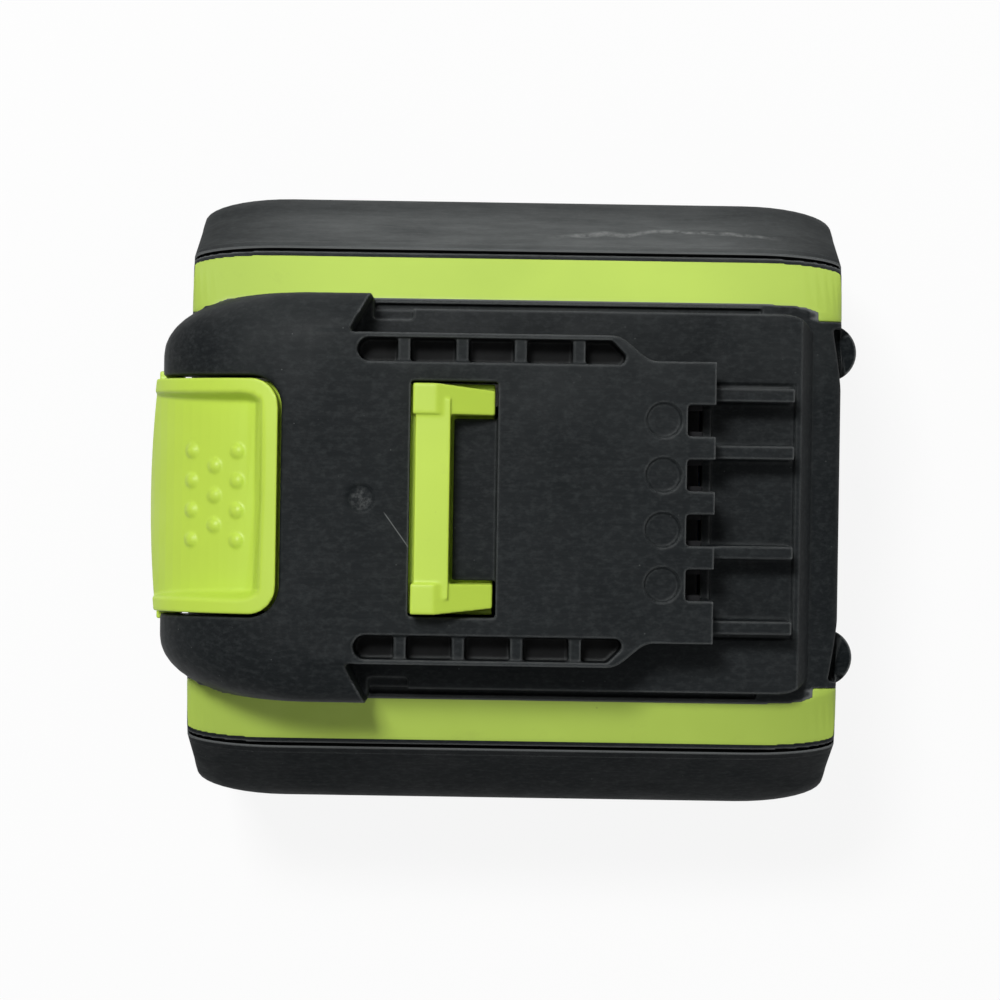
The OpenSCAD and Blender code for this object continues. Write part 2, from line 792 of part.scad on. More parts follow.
module band(side) {
    color([0.62, 0.75, 0.15]) difference() {
        intersection() {
            case_form(0);
            band_space(side);
        }
        case_form(band_t);
    }
}

// Point on the button's ellipse at angle t, drawn in by depth
function button_point(t, depth) = [
    hump_crest - (button_reach - depth) * sin(t),
    hump_foot + (button_rise - depth) * cos(t)];
function button_angle(i) = button_start + (90 - button_start) * i / button_steps;
function dish_at(t) = dish_depth * (1 - pow((t - button_start) / (90 - button_start), 3));
function dot_angle(x) = asin((hump_crest - x) / (button_reach - dish_depth));

module button_shell() {
    under = dish_depth + button_t;
    intersection() {
        side_view(2 * button_half) polygon(concat(
            [for (i = [0:button_steps]) button_point(button_angle(i), 0)],
            [[button_rear, skirt_low], [button_rear + skirt_t, skirt_low],
             [button_rear + skirt_t, hump_foot - latch_fit]],
            [for (i = [button_steps:-1:0]) button_point(button_angle(i), under)]));
        linear_extrude(big) intersection() {
            button_plan(0, button_half, button_front, button_corner);
            translate([button_rear + button_bow_r, 0]) circle(button_bow_r, $fn = 180);
        }
    }
}

// Sloped walls of the dish: they narrow with its depth, and their front corners are round
function dish_wall(t) = max(dish_wall_least, dish_wall_w * dish_at(t) / dish_depth);
function rim_distance(x, y) = let (
    a = (dish_front - x) * dish_wall_w / dish_front_w, b = dish_half - abs(y), r = dish_corner)
    a < r && b < r ? r - norm([r - a, r - b]) : min(a, b);
function dish_share(t, y) = let (
    x = button_point(t, 0)[0], s = max(0, min(1, rim_distance(x, y) / dish_wall(t))))
    s * s * (3 - 2 * s);
function dish_across(t) = let (side = [for (s = [0:0.2:1]) dish_half - dish_wall(t) * s])
    concat(side, [0], [for (i = [len(side) - 1:-1:0]) -side[i]]);

// Hollow of the dish, lofted from its front wall back to where it runs out
module dish() {
    start = asin((hump_crest - dish_front) / button_reach);
    rows = [for (i = [0:dish_rows]) start + (90 - start) * pow(i / dish_rows, 1.5)];
    loft([for (t = rows) let (across = dish_across(t), over = button_point(t, -dish_over)) concat(
        [for (y = across) let (p = button_point(t, dish_at(t) * dish_share(t, y) - eps)) [p[0], y, p[1]]],
        [for (i = [len(across) - 1:-1:0]) [over[0], across[i], over[1]]])]);
}

// One row of grip dots at x, standing square on the floor of the dish
module dot_line(x, count) {
    t = dot_angle(x);
    p = button_point(t, dish_at(t));
    ball_r = (dot_r * dot_r + dot_h * dot_h) / (2 * dot_h);
    normal = [-sin(t) / button_reach, cos(t) / button_rise];
    centre = p - normal / norm(normal) * (ball_r - dot_h);
    for (i = [0:count - 1])
        translate([centre[0], (i - (count - 1) / 2) * dot_pitch, centre[1]]) sphere(ball_r);
}

module release_latch() {
    color([0.64, 0.78, 0.16]) union() {
        difference() {
            button_shell();
            dish();
        }
        intersection() {
            union() {
                dot_line(dot_mid - dot_row, 4);
                dot_line(dot_mid, 3);
                dot_line(dot_mid + dot_row, 4);
            }
            button_shell();
        }
        spring_pads();
        stop_tabs();
        translate([plate_rear, -plate_half, plate_low])
            cube([hook_front - plate_rear, 2 * plate_half, latch_plate_t]);
        hook();
    }
}

// Seats under the button that press on the springs
module spring_pads() {
    mid = dish_depth + button_t / 2;
    pad_low = spring_base + spring_h;
    intersection() {
        both_sides() translate([spring_x, spring_y, pad_low]) cylinder(h = big, r = seat_r);
        side_view(2 * button_half) polygon(concat(
            [for (i = [0:button_steps]) button_point(button_angle(i), mid)],
            [[button_rear, 0], [hump_crest, 0]]));
    }
    both_sides() translate([spring_x, spring_y, pad_low - button_peg_h])
        cylinder(h = button_peg_h + 1, r = peg_r);
}

// Tabs on the skirt that catch under the hump, so that the springs can't push the button out
module stop_tabs() {
    rear = button_rear + skirt_t / 2;
    both_sides() translate([rear, button_half - tab_in, hump_foot - latch_fit - tab_t])
        cube([case_rear - tab_gap - rear, tab_in + latch_fit + tab_lap, tab_t]);
}

module hook() {
    side_profile = [
        [hook_rear, plate_low], [hook_rear, hook_top], [hook_rear + hook_level, hook_top],
        [hook_front, rail_top + hook_end_h], [hook_front, plate_low]];
    inner = hook_half - hook_arm_w;
    intersection() {
        side_view(2 * hook_half) polygon(side_profile);
        both_sides() linear_extrude(big) polygon([
            [hook_rear, inner], [hook_rear, hook_half], [hook_rear + hook_level, hook_half],
            [hook_front, hook_half - hook_taper], [hook_front, inner]]);
    }
    translate([hook_rear + hook_bar_in, hook_arm_w / 2 - hook_half, plate_low])
        cube([hook_bar_w, 2 * hook_half - hook_arm_w, hook_top - hook_bar_drop - plate_low]);
}

// Round wire wound into a helix that stands on its seat
module latch_spring(side) {
    rings_per_turn = 8;
    sides = 6;
    wire_r = spring_wire / 2;
    coil_r = spring_d / 2 - wire_r;
    rings = spring_turns * rings_per_turn;
    rise = spring_h - spring_wire - 2 * spring_seat_gap;
    points = [for (i = [0:rings]) for (j = [0:sides - 1])
        let (turn = 360 * i / rings_per_turn, a = 360 * j / sides, r = coil_r + wire_r * cos(a))
        [r * cos(turn), r * sin(turn), wire_r + spring_seat_gap + rise * i / rings + wire_r * sin(a)]];
    walls = [for (i = [0:rings - 1]) for (j = [0:sides - 1])
        let (a = i * sides + j, b = i * sides + (j + 1) % sides)
        each [[a, a + sides, b], [b, a + sides, b + sides]]];
    first = [for (j = [1:sides - 2]) [0, j, j + 1]];
    last = [for (j = [1:sides - 2]) [rings * sides, rings * sides + j + 1, rings * sides + j]];
    color("silver") translate([spring_x, side * spring_y, spring_base])
        polyhedron(points, concat(walls, first, last));
}

// A cell along X, with the groove and the shoulder of its positive end
module cell(i) {
    groove = 0.5;
    groove_at = 3;
    groove_w = 1.2;
    cap_r = 4;
    rim_r = 7.5;
    cap_h = 0.8;
    r = cell_d / 2;
    forward = len(search(i, forward_cells)) > 0;
    color([0.2, 0.45, 0.7]) translate([0, cells[i][0], cells[i][1]]) rotate([0, forward ? 90 : -90, 0])
        translate([0, 0, -cell_l / 2]) rotate_extrude() polygon([
            [0, 0], [r, 0], [r, cell_l - groove_at - groove_w], [r - groove, cell_l - groove_at - groove_w],
            [r - groove, cell_l - groove_at], [r, cell_l - groove_at], [r, cell_l], [rim_r, cell_l],
            [rim_r, cell_l - cap_h], [cap_r, cell_l - cap_h], [cap_r, cell_l], [0, cell_l]]);
}

module cell_holder(end) {
    color([0.25, 0.26, 0.28]) translate([end > 0 ? cell_l / 2 - holder_depth : -cell_l / 2, 0, 0])
        rotate([90, 0, 90]) linear_extrude(holder_depth) difference() {
            union() {
                for (p = cells) translate(p) circle(holder_r);
                translate([-pitch, wall]) square([2 * pitch, holder_r]);
            }
            for (p = cells) translate(p) circle(bore_r);
            translate([-big / 2, wall - big]) square([big, big]);
        }
}

// Flat strip that runs from cell to cell in the order given
module bus_strip(end, path) {
    x = end > 0 ? cell_l / 2 : -cell_l / 2 - strip_t;
    color("gainsboro") translate([x, 0, 0]) rotate([90, 0, 90]) linear_extrude(strip_t) union() {
        for (i = path) translate(cells[i]) circle(strip_w / 2);
        for (i = [0:len(path) - 2]) {
            span = cells[path[i + 1]] - cells[path[i]];
            translate(cells[path[i]]) rotate(atan2(span[1], span[0]))
                translate([0, -strip_w / 2]) square([norm(span), strip_w]);
        }
    }
}

// Insulating sheet over the strips, against the leads
module end_sheet(end) {
    margin = 1;
    low = row_1 - cell_d / 2 + margin;
    x = cell_l / 2 + 2 * strip_t;
    color("wheat") translate([end > 0 ? x : -x - sheet_t, 0, 0]) rotate([90, 0, 90]) linear_extrude(sheet_t)
        polygon(mirrored([
            [pitch, low], [1.5 * pitch, row_1 + row_step], [pitch, cell_top - margin]]));
}

lead_w = 3.6;
lead_over = 0.9;
lead_low = cell_top + lead_over;
lead_y = 0.75 * pitch;
lead_in = 2;

// Strip bent from the end cells over the cell row and up to the board
module lead(end, y, foot, board_x) {
    x_face = cell_l / 2 + strip_t;
    x_out = x_face + strip_t;
    x_to = end * board_x;
    color("gainsboro") translate([0, y, 0]) side_view(lead_w) scale([end, 1]) polygon([
        [x_face, foot], [x_out, foot], [x_out, lead_low + strip_t],
        [x_to + strip_t, lead_low + strip_t], [x_to + strip_t, board_low], [x_to, board_low],
        [x_to, lead_low], [x_face, lead_low]]);
}

module foam_pad() {
    color([0.3, 0.3, 0.32]) translate([board_rear + lead_in, -foam_half, cell_top + foam_fit])
        cube([contact_front - board_rear - lead_in, 2 * foam_half, board_low - cell_top - foam_fit]);
}

module protection_board() {
    color([0.1, 0.4, 0.2]) translate([board_rear, -board_half, board_low])
        cube([board_front - board_rear, 2 * board_half, board_t]);
}

// Switching transistors and the control chip on the board
module board_components() {
    transistor = [3.6, 5, 1.5];
    transistor_pitch = 5.9;
    chip = [3, 5, 1];
    edge = 1;
    color([0.1, 0.1, 0.11]) translate([board_rear + edge, 0, board_top]) union() {
        for (i = [-2, -1, 1, 2]) translate([0, i * transistor_pitch - transistor[1] / 2, 0]) cube(transistor);
        translate([0, -chip[1] / 2, 0]) cube(chip);
    }
}

module terminal_block() {
    pocket = 2 * (contact_half + board_fit);
    entry = contact_front + board_fit;
    color([0.2, 0.2, 0.22]) difference() {
        translate([block_rear, -board_half, board_top])
            cube([board_front - block_rear, 2 * board_half, skin_under - board_top]);
        for (y = terminal_places) {
            translate([contact_rear - board_fit, y - pocket / 2, board_top - 1])
                cube([entry - contact_rear + board_fit, pocket, contact_top + board_fit - board_top + 1]);
            translate([entry - 1, y - pocket / 2, board_top + block_wall])
                cube([big, pocket, big]);
        }
    }
}

// Contact bent from sheet: a foot on the board and two prongs
module terminal(i) {
    color("goldenrod") translate([contact_rear, terminal_places[i - 1], board_top]) union() {
        translate([0, -contact_half, 0]) cube([contact_l, 2 * contact_half, contact_t]);
        for (y = [-contact_half, contact_half - contact_t])
            translate([0, y, 0]) cube([contact_l, contact_t, contact_top - board_top]);
    }
}

// Bead in the valley between two cells, with its two legs up to the board
module temperature_sensor() {
    bead_r = 1.5;
    leg_r = 0.3;
    leg_gap = 0.6;
    bead_gap = 0.1;
    board_in = 4;
    reach = cell_d / 2 + bead_r + bead_gap;
    z = row_3 + sqrt(reach * reach - pitch * pitch / 4);
    color("white") translate([board_rear + board_in, -pitch / 2, 0]) union() {
        translate([0, 0, z]) sphere(bead_r);
        for (s = [-1, 1]) translate([s * leg_gap, 0, z]) cylinder(h = board_low - z, r = leg_r);
    }
}

module case_screws() {
    socket_w = 2.5;
    socket_depth = 1.2;
    color("dimgray") for (p = screw_places) translate([p[0], p[1], screw_seat]) difference() {
        union() {
            translate([0, 0, -screw_head_h]) cylinder(h = screw_head_h, d = screw_head_d);
            cylinder(h = screw_l, d = screw_d);
        }
        translate([0, 0, -screw_head_h - 1]) cylinder(h = socket_depth + 1, d = socket_w, $fn = 6);
    }
}

lower_housing();
upper_housing();
band(1);  // band_left
band(-1);  // band_right
release_latch();
latch_spring(1);  // latch_spring_left
latch_spring(-1);  // latch_spring_right
for (i = [1:10]) cell(i - 1);
cell_holder(1);  // cell_holder_front
cell_holder(-1);  // cell_holder_rear
for (i = [1:3]) bus_strip(1, front_strips[i - 1]);
for (i = [1:3]) bus_strip(-1, rear_strips[i - 1]);
end_sheet(1);  // end_sheet_front
end_sheet(-1);  // end_sheet_rear
lead(1, -lead_y, row_3, board_front - lead_in);  // positive_lead
lead(-1, lead_y, row_3 - row_step / 2, board_rear + lead_in);  // negative_lead
foam_pad();
protection_board();
board_components();
terminal_block();
for (i = [1:4]) terminal(i);
temperature_sensor();
case_screws();
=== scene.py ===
"""Looks of a slide-on power tool battery pack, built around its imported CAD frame.

The upper housing, bands, latch and foam are remeshed copies of their CAD solids, so that their edges are
rounded. The lower housing keeps its own faces with smooth shading, so that its thin rim stays whole.
All sizes are in metres in the frame's own axes: +X out of the terminal end, +Y to the left side, +Z up.
"""
import json
import math

import bmesh
import bpy
import numpy as np
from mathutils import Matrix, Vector


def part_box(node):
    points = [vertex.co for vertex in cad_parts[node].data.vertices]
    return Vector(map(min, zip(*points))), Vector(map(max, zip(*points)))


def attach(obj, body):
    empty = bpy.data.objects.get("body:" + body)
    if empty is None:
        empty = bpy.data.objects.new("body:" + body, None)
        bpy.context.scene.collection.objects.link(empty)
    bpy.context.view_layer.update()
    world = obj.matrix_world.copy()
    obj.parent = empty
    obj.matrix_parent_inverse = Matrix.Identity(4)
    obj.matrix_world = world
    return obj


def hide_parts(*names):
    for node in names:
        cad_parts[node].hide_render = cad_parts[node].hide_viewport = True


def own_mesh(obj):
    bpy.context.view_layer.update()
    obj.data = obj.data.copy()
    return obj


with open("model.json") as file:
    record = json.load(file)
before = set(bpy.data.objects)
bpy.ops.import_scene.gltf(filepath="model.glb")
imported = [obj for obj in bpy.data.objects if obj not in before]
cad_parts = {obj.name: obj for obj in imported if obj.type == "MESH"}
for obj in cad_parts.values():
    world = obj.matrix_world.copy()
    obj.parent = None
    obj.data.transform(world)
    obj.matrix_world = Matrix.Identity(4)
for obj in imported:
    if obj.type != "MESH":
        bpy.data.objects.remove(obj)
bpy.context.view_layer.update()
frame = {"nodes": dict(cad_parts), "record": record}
nodes = frame["nodes"]
MM = 0.001

# Levels and places taken from the frame
RAIL_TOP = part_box("upper_housing")[1].z
BAND_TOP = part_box("band_left")[1].z

# Floors of the cored slots in the rail, which painted shade darkens
POCKET_X = (-19.5 * MM, 15.8 * MM)
POCKET_Y = (17.3 * MM, 20.8 * MM)
POCKET_Z = (RAIL_TOP - 4.6 * MM, RAIL_TOP - 3.2 * MM)

# Where the hump is softened, the least angle of an edge kept sharp, and the wire of the latch springs
HUMP_SOFT_X = -19 * MM
HUMP_SOFT_RISE = 0.45 * MM
SHARP_ANGLE = 32
SPRING_WIRE = 0.6 * MM
SPRING_TURNS = 6
SPRING_STEPS = 24
SPRING_SIDES = 10

# Painted highlights on edges, with the cosines of the turn at which the highlight starts and is full, and marks
# of
# use: the scratch on the rail, its gate mark and the scuffed part of the left strip
EDGE_HIGHLIGHT_REACH = 0.5 * MM
EDGE_HIGHLIGHT_TURN = (0.985, 0.88)
SCRATCH_AT = (-15.1 * MM, -2.2 * MM)
SCRATCH_TURN = -54
SCRATCH_LENGTH = 5.2 * MM
GATE_AT = (-18.4 * MM, -0.2 * MM)
GATE_R = 1.7 * MM
SCUFF_X = (9 * MM, 33 * MM)
SCUFF_Y = (35.5 * MM, 35.7 * MM)
SCUFF_SWAY = 4 * MM

# Painted light: a sheen on the left strip, which starts and fades across it, a lighter left side of the rail,
# and painted shade on the bands' ends
SHEEN_START_Y = (30 * MM, 34 * MM)
SHEEN_FADE_Y = (41 * MM, 37 * MM)
SHEEN_X = (-22 * MM, 26 * MM)
SHEEN_SOFT = 18 * MM
RAIL_SHEEN_Y = (3 * MM, 26 * MM)
BAND_END_X = (24 * MM, 44 * MM)

# Camera of the photograph: straight down on the rail, slightly turned
IMAGE_SIDE = 1000
FOCAL_PX = 3138
SENSOR_MM = 36
CAMERA_HEIGHT = 400 * MM
CAMERA_X = -0.6 * MM
CAMERA_Y = 0.0
CAMERA_ROLL = 0.9

# Floor, the share of plain white in what is seen of it, and the world's fill
FLOOR_SIDE = 6.0
FLOOR_DROP = 0.2 * MM
FLOOR_TONE = 0.86
FLOOR_GLOW = 0.9
WORLD_FILL = 0.13


def make_camera():
    """Camera above the rail, with the photograph's framing."""
    data = bpy.data.cameras.new("camera")
    data.sensor_width = SENSOR_MM
    data.lens = FOCAL_PX / IMAGE_SIDE * SENSOR_MM
    camera = bpy.data.objects.new("camera", data)
    bpy.context.scene.collection.objects.link(camera)
    camera.location = (CAMERA_X, CAMERA_Y, RAIL_TOP + CAMERA_HEIGHT)
    camera.rotation_euler = (0, 0, math.radians(CAMERA_ROLL))
    bpy.context.scene.camera = camera


# Node helpers


class Nodes:
    """Short calls for building one material's node tree."""

    def __init__(self, name):
        self.material = bpy.data.materials.new(name)
        self.material.use_nodes = True
        self.tree = self.material.node_tree
        self.tree.nodes.clear()
        self.output = self.tree.nodes.new("ShaderNodeOutputMaterial")

    def add(self, kind, **settings):
        """New node, with its settings."""
        node = self.tree.nodes.new("ShaderNode" + kind)
        for key, value in settings.items():
            setattr(node, key, value)
        return node

    def link(self, source, target):
        self.tree.links.new(source, target)

    def position(self, scale=(1, 1, 1)):
        """Coordinates in the frame, stretched by scale."""
        coordinates = self.add("TexCoord")
        mapping = self.add("Mapping")
        mapping.inputs["Scale"].default_value = scale
        self.link(coordinates.outputs["Object"], mapping.inputs["Vector"])
        return mapping.outputs["Vector"]

    def axis(self, letter):
        """One coordinate of the frame, in metres."""
        split = self.add("SeparateXYZ")
        self.link(self.position(), split.inputs["Vector"])
        return split.outputs[letter]

    def within(self, value, low, high, soft):
        """One between low and high, falling to nothing over soft outside them."""
        rise = self.ramp(value, low - soft, low)
        return self.math("MULTIPLY", rise, self.ramp(value, high + soft, high))

    def along(self, start, turn):
        """Distances along and across a line on the plan, from its start."""
        c, s = math.cos(math.radians(turn)), math.sin(math.radians(turn))
        x = self.math("SUBTRACT", self.axis("X"), start[0])
        y = self.math("SUBTRACT", self.axis("Y"), start[1])
        u = self.math("ADD", self.math("MULTIPLY", x, c), self.math("MULTIPLY", y, s))
        v = self.math("SUBTRACT", self.math("MULTIPLY", y, c), self.math("MULTIPLY", x, s))
        return u, v

    def edge(self, reach):
        """One on sharply turned edges, nothing on flat faces."""
        bevel = self.add("Bevel", samples=4)
        bevel.inputs["Radius"].default_value = reach
        dot = self.add("VectorMath", operation="DOT_PRODUCT")
        self.link(bevel.outputs["Normal"], dot.inputs[0])
        self.link(self.add("NewGeometry").outputs["Normal"], dot.inputs[1])
        return self.ramp(dot.outputs["Value"], *EDGE_HIGHLIGHT_TURN)

    def noise(self, scale, detail=3, rough=0.5, stretch=(1, 1, 1)):
        node = self.add("TexNoise")
        node.inputs["Scale"].default_value = scale
        node.inputs["Detail"].default_value = detail
        node.inputs["Roughness"].default_value = rough
        self.link(self.position(stretch), node.inputs["Vector"])
        return node.outputs["Fac"]

    def voronoi(self, scale):
        node = self.add("TexVoronoi", feature="F1")
        node.inputs["Scale"].default_value = scale
        self.link(self.position(), node.inputs["Vector"])
        return node.outputs["Distance"]

    def ramp(self, value, low, high, start=0.0, end=1.0):
        """Value mapped from low..high to start..end, and held there."""
        node = self.add("MapRange")
        for key, number in zip(("From Min", "From Max", "To Min", "To Max"), (low, high, start, end)):
            node.inputs[key].default_value = number
        self.link(value, node.inputs["Value"])
        return node.outputs["Result"]

    def math(self, operation, a, b=0):
        node = self.add("Math", operation=operation)
        for socket, value in zip(node.inputs, (a, b)):
            if isinstance(value, (int, float)):
                socket.default_value = value
            else:
                self.link(value, socket)
        return node.outputs["Value"]

    def mix(self, factor, a, b):
        """Colour a turned towards colour b by factor."""
        node = self.add("Mix", data_type="RGBA")
        for socket, value in zip((node.inputs[0], node.inputs[6], node.inputs[7]), (factor, a, b)):
            if isinstance(value, (int, float)):
                socket.default_value = value
            elif isinstance(value, tuple):
                socket.default_value = (*value, 1)
            else:
                self.link(value, socket)
        return node.outputs[2]

    def bump(self, height, strength, distance, normal=None):
        node = self.add("Bump")
        node.inputs["Strength"].default_value = strength
        node.inputs["Distance"].default_value = distance
        self.link(height, node.inputs["Height"])
        if normal is not None:
            self.link(normal, node.inputs["Normal"])
        return node.outputs["Normal"]

    def surface(self, colour, roughness, normal=None, **settings):
        """Principled surface; settings are plain numbers for its other sockets."""
        shader = self.add("BsdfPrincipled")
        for key, value in (("Base Color", colour), ("Roughness", roughness), ("Normal", normal)):
            if isinstance(value, tuple):
                shader.inputs[key].default_value = (*value, 1)
            elif isinstance(value, (int, float)):
                shader.inputs[key].default_value = value
            elif value is not None:
                self.link(value, shader.inputs[key])
        for key, value in settings.items():
            shader.inputs[key.replace("_", " ")].default_value = value
        self.link(shader.outputs["BSDF"], self.output.inputs["Surface"])
        return self.material


# Materials


def scratch_mask(n):
    """Thin line on the rail."""
    u, v = n.along(SCRATCH_AT, SCRATCH_TURN)
    line = n.within(v, -0.03 * MM, 0.03 * MM, 0.05 * MM)
    return n.math("MULTIPLY", line, n.within(u, 0, SCRATCH_LENGTH, 0.6 * MM))


def gate_mask(n):
    """Rough middle of the gate mark."""
    u, v = n.along(GATE_AT, 0)
    distance = n.math("SQRT", n.math("ADD", n.math("MULTIPLY", u, u), n.math("MULTIPLY", v, v)))
    crumb = n.ramp(n.noise(1500, 4, 0.7), 0.45, 0.62)
    return n.math("MULTIPLY", n.ramp(distance, GATE_R, GATE_R * 0.55), crumb)


def pocket_shade_mask(n):
    """Painted shade on the floors of the cored slots in the rail."""
    across = n.within(n.math("ABSOLUTE", n.axis("Y")), *POCKET_Y, 0.1 * MM)
    across = n.math("MULTIPLY", across, n.within(n.axis("X"), *POCKET_X, 0.1 * MM))
    return n.math("MULTIPLY", across, n.within(n.axis("Z"), *POCKET_Z, 0.6 * MM))


def scuff_mask(n):
    """Whitish rubs on the left strip."""
    sway = n.math("MULTIPLY", n.math("SUBTRACT", n.noise(70, 2), 0.5), SCUFF_SWAY)
    line = n.within(n.math("SUBTRACT", n.axis("Y"), sway), *SCUFF_Y, 0.25 * MM)
    worn = n.ramp(n.noise(700, 4, 0.7), 0.35, 0.6)
    return n.math("MULTIPLY", n.math("MULTIPLY", line, worn), n.within(n.axis("X"), *SCUFF_X, 4 * MM))


def black_plastic(name, painted_sheen=0.0):
    """Black moulded plastic with grain, streaks, specks and painted highlights on its edges.

    Given a sheen amount it is the lower housing's: a painted sheen, mottled like dust, and a scuff on the left
    side, in place of the rail's painted light and shade and its marks.
    """
    n = Nodes(name)
    cloud = n.ramp(n.noise(70, 4, 0.6), 0.35, 0.75)
    mottle = n.ramp(n.noise(1500, 4, 0.7, stretch=(0.6, 1, 1)), 0.46, 0.72)
    streak = n.ramp(n.noise(1, 3, 0.6, stretch=(120, 2600, 2600)), 0.42, 0.8)
    fleck = n.ramp(n.voronoi(900), 0.08, 0.04)
    chosen = n.ramp(n.noise(260, 1), 0.62, 0.68)
    speck = n.math("MULTIPLY", fleck, chosen)
    tone = n.mix(cloud, (0.0038, 0.0052, 0.0060), (0.0062, 0.0080, 0.0090))
    tone = n.mix(n.math("MULTIPLY", mottle, 0.7), tone, (0.024, 0.0275, 0.0285))
    tone = n.mix(n.math("MULTIPLY", streak, 0.3), tone, (0.02, 0.0225, 0.024))
    tone = n.mix(n.math("MULTIPLY", speck, 0.5), tone, (0.2, 0.21, 0.21))
    if painted_sheen:
        # Painted sheen: the left strip is lightened on its lit side, in a dusty mottle.
        sheen_mottle = n.ramp(n.noise(60, 6, 0.75, stretch=(1, 4, 4)), 0.3, 0.75, 0.45, 1.0)
        left = n.ramp(n.axis("Y"), *SHEEN_START_Y)
        left = n.math("MULTIPLY", left, n.ramp(n.axis("Y"), *SHEEN_FADE_Y, 0.4, 1))
        middle = n.within(n.axis("X"), *SHEEN_X, SHEEN_SOFT)
        left = n.math("MULTIPLY", left, n.ramp(middle, 0, 1, 0.25, 1))
        sheen_mask = n.math("MULTIPLY", n.math("MULTIPLY", sheen_mottle, left), painted_sheen)
        tone = n.mix(sheen_mask, tone, (0.19, 0.2, 0.198))
        tone = n.mix(n.math("MULTIPLY", scuff_mask(n), 0.3), tone, (0.4, 0.41, 0.4))
    else:
        # Painted light: the rail is lightened in patches towards its lit left side.
        left = n.ramp(n.axis("Y"), *RAIL_SHEEN_Y, 0, 0.35)
        tone = n.mix(n.math("MULTIPLY", left, cloud), tone, (0.05, 0.054, 0.054))
        # Painted shade: the floors of the cored slots are darkened nearly to black.
        tone = n.mix(n.math("MULTIPLY", pocket_shade_mask(n), 0.85), tone, (0.001, 0.0011, 0.0012))
        tone = n.mix(n.math("MULTIPLY", scratch_mask(n), 0.6), tone, (0.2, 0.21, 0.21))
        tone = n.mix(n.math("MULTIPLY", gate_mask(n), 0.5), tone, (0.1, 0.105, 0.105))
    # Painted highlight: every sharply turned edge is lightened.
    tone = n.mix(n.math("MULTIPLY", n.edge(EDGE_HIGHLIGHT_REACH), 0.85), tone, (0.15, 0.158, 0.158))
    rough = n.ramp(n.noise(150, 4, 0.6), 0.3, 0.7, 0.5, 0.64)
    grain = n.bump(n.noise(5200, 2, 0.6), 0.22, 0.00005)
    relief = n.bump(streak, 0.1, 0.00004, grain)
    return n.surface(tone, rough, relief, Specular_IOR_Level=0.02 if painted_sheen else 0.09)


def lime_plastic(name, colour, shade, roughness, ends_shade=0.0):
    """Coloured moulded plastic: soft tone changes, faint grime in patches and a fine grain."""
    n = Nodes(name)
    cloud = n.ramp(n.noise(55, 3), 0.3, 0.7)
    grime = n.ramp(n.noise(180, 6, 0.7), 0.6, 0.78)
    fleck = n.math("MULTIPLY", n.ramp(n.voronoi(500), 0.09, 0.04), n.ramp(n.noise(300, 1), 0.66, 0.7))
    tone = n.mix(cloud, colour, shade)
    # Painted shade: the bands darken towards their ends, where they curve down.
    ends = n.ramp(n.math("ABSOLUTE", n.axis("X")), *BAND_END_X, 0, ends_shade)
    tone = n.mix(ends, tone, (0.25, 0.34, 0.05))
    tone = n.mix(n.math("MULTIPLY", grime, 0.12), tone, (0.2, 0.24, 0.06))
    tone = n.mix(n.math("MULTIPLY", fleck, 0.35), tone, (0.12, 0.14, 0.05))
    rough = n.ramp(n.noise(220, 4), 0.3, 0.7, roughness - 0.06, roughness + 0.06)
    grain = n.bump(n.noise(4800, 2, 0.6), 0.1, 0.00004)
    return n.surface(tone, rough, grain, Specular_IOR_Level=0.4)


def metal(name, colour, roughness, stretch=(1, 1, 1)):
    """Plain drawn, rolled or stamped metal with faint lines along its length."""
    n = Nodes(name)
    line = n.noise(900, 4, 0.6, stretch=stretch)
    tone = n.mix(n.ramp(line, 0.3, 0.7), colour, tuple(c * 0.78 for c in colour))
    rough = n.ramp(line, 0.3, 0.7, roughness - 0.07, roughness + 0.07)
    relief = n.bump(line, 0.15, 0.00003)
    return n.surface(tone, rough, relief, Metallic=1.0)


def coated(name, colour, shade, roughness, scale, depth, shine=0.5):
    """Painted, sleeved, pressed or foamed stuff with a grain of one scale."""
    n = Nodes(name)
    grain = n.noise(scale, 4, 0.6)
    tone = n.mix(n.ramp(grain, 0.3, 0.7), colour, shade)
    rough = n.ramp(n.noise(scale / 3, 3), 0.3, 0.7, roughness - 0.06, roughness + 0.06)
    relief = n.bump(grain, 0.3, depth)
    return n.surface(tone, rough, relief, Specular_IOR_Level=shine)


